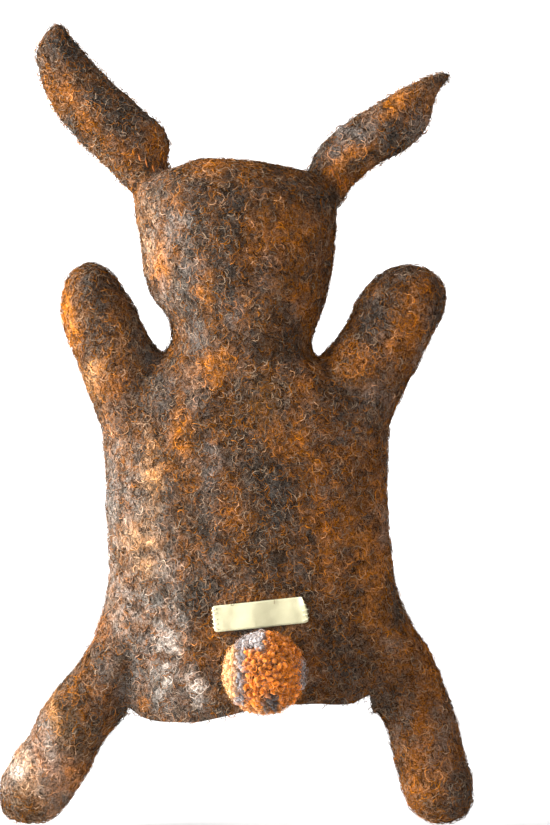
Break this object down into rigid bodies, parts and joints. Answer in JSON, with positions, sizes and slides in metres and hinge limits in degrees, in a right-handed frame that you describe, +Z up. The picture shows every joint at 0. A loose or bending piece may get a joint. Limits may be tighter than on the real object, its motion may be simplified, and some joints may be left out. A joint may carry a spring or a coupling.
{
  "type": "hand puppet",
  "caption": "Glove puppet of a felted hare: hollow body with open hem, turning head, leaf-shaped ears, finger arms, hanging legs, woven label and pompom tail.",
  "frame": {"origin": "middle of the hem opening, where the hand goes in", "axes": "+Z up through the neck, -Y the way the face looks, +Y the back, +X the puppet's left"},
  "size_m": [0.2183, 0.1201, 0.384],
  "materials": {
    "body_felt": "wet-felted wool, marbled charcoal and rust",
    "head_felt": "wet-felted wool, marbled charcoal and rust",
    "arm_felt": "wet-felted wool, rust with grey patches",
    "leg_felt": "wet-felted wool, rust streaks",
    "ear_felt": "wet-felted wool, charcoal with rust streaks",
    "lining_felt": "soft peach felt",
    "wool_filling": "loose cream wool",
    "tail_yarn": "fluffy wool yarn, rust and grey",
    "label_ribbon": "fine woven ribbon",
    "label_thread": "fine sewing thread",
    "ear_thread": "wool sewing thread",
    "black_thread": "stiff waxed thread",
    "eye_bead": "polished bead"
  },
  "bodies": {
    "torso": {"torso_shell": "body_felt", "label": "label_ribbon", "label_stitches": "label_thread", "tail_knot": "tail_yarn"},
    "neck": {"neck_sleeve": "body_felt"},
    "neck_inner": {"neck_lining": "wool_filling"},
    "head": {"head_shell": "head_felt", "head_stuffing": "wool_filling", "left_eye": "eye_bead", "right_eye": "eye_bead", "eye_thread": "black_thread", "nose": "black_thread", "mouth_stitches": "black_thread", "left_whiskers": "black_thread", "right_whiskers": "black_thread"},
    "left_ear": {"left_ear": "ear_felt", "left_ear_lining": "lining_felt", "left_ear_stitches": "ear_thread"},
    "right_ear": {"right_ear": "ear_felt", "right_ear_lining": "lining_felt", "right_ear_stitches": "ear_thread"},
    "left_shoulder": {"left_shoulder": "body_felt"},
    "left_arm": {"left_arm": "arm_felt"},
    "right_shoulder": {"right_shoulder": "body_felt"},
    "right_arm": {"right_arm": "arm_felt"},
    "left_hip": {"left_hip": "body_felt"},
    "left_leg": {"left_leg": "leg_felt", "left_leg_stuffing": "wool_filling"},
    "right_hip": {"right_hip": "body_felt"},
    "right_leg": {"right_leg": "leg_felt", "right_leg_stuffing": "wool_filling"},
    "tail_tie": {"tail_tie": "tail_yarn"},
    "tail": {"tail_pompom": "tail_yarn", "tail_binding": "label_thread"}
  },
  "joints": [
    {"name": "head_turn", "type": "hinge", "parent": "torso", "child": "neck", "pos_m": [0.003, 0, 0.178], "axis": [0, 0, 1], "range_deg": [-25, 25]},
    {"name": "head_tilt", "type": "hinge", "parent": "neck", "child": "neck_inner", "pos_m": [0.003, 0, 0.178], "axis": [0, 1, 0], "range_deg": [-12, 6]},
    {"name": "head_nod", "type": "hinge", "parent": "neck_inner", "child": "head", "pos_m": [0.003, 0, 0.178], "axis": [1, 0, 0], "range_deg": [-20, 40]},
    {"name": "left_ear_flop", "type": "hinge", "parent": "head", "child": "left_ear", "pos_m": [0.0446, -0.002, 0.25246], "axis": [0.8387, 0, -0.5446], "range_deg": [-35, 60], "stiffness_Nm_per_rad": 0.03},
    {"name": "right_ear_flop", "type": "hinge", "parent": "head", "child": "right_ear", "pos_m": [-0.03614, -0.002, 0.24874], "axis": [0.6691, 0, 0.7431], "range_deg": [-35, 60], "stiffness_Nm_per_rad": 0.03},
    {"name": "left_arm_swing", "type": "hinge", "parent": "torso", "child": "left_shoulder", "pos_m": [0.055, 0, 0.157], "axis": [1, 0, 0], "range_deg": [-20, 55]},
    {"name": "left_arm_spread", "type": "hinge", "parent": "left_shoulder", "child": "left_arm", "pos_m": [0.055, 0, 0.157], "axis": [0, 1, 0], "range_deg": [-5, 55]},
    {"name": "right_arm_swing", "type": "hinge", "parent": "torso", "child": "right_shoulder", "pos_m": [-0.055, 0, 0.157], "axis": [1, 0, 0], "range_deg": [-20, 55]},
    {"name": "right_arm_spread", "type": "hinge", "parent": "right_shoulder", "child": "right_arm", "pos_m": [-0.055, 0, 0.157], "axis": [0, -1, 0], "range_deg": [-5, 55]},
    {"name": "left_leg_swing", "type": "hinge", "parent": "torso", "child": "left_hip", "pos_m": [0.075, 0, 0.013], "axis": [-1, 0, 0], "range_deg": [-35, 75]},
    {"name": "left_leg_spread", "type": "hinge", "parent": "left_hip", "child": "left_leg", "pos_m": [0.075, 0, 0.013], "axis": [0, -1, 0], "range_deg": [-20, 35]},
    {"name": "right_leg_swing", "type": "hinge", "parent": "torso", "child": "right_hip", "pos_m": [-0.075, 0, 0.013], "axis": [-1, 0, 0], "range_deg": [-35, 75]},
    {"name": "right_leg_spread", "type": "hinge", "parent": "right_hip", "child": "right_leg", "pos_m": [-0.075, 0, 0.013], "axis": [0, 1, 0], "range_deg": [-10, 40]},
    {"name": "tail_lift", "type": "hinge", "parent": "torso", "child": "tail_tie", "pos_m": [-0.008, 0.02885, 0.0205], "axis": [1, 0, 0], "range_deg": [-18, 18], "stiffness_Nm_per_rad": 0.05},
    {"name": "tail_swing", "type": "hinge", "parent": "tail_tie", "child": "tail", "pos_m": [-0.008, 0.02885, 0.0205], "axis": [0, 0, 1], "range_deg": [-18, 18], "stiffness_Nm_per_rad": 0.05}
  ]
}
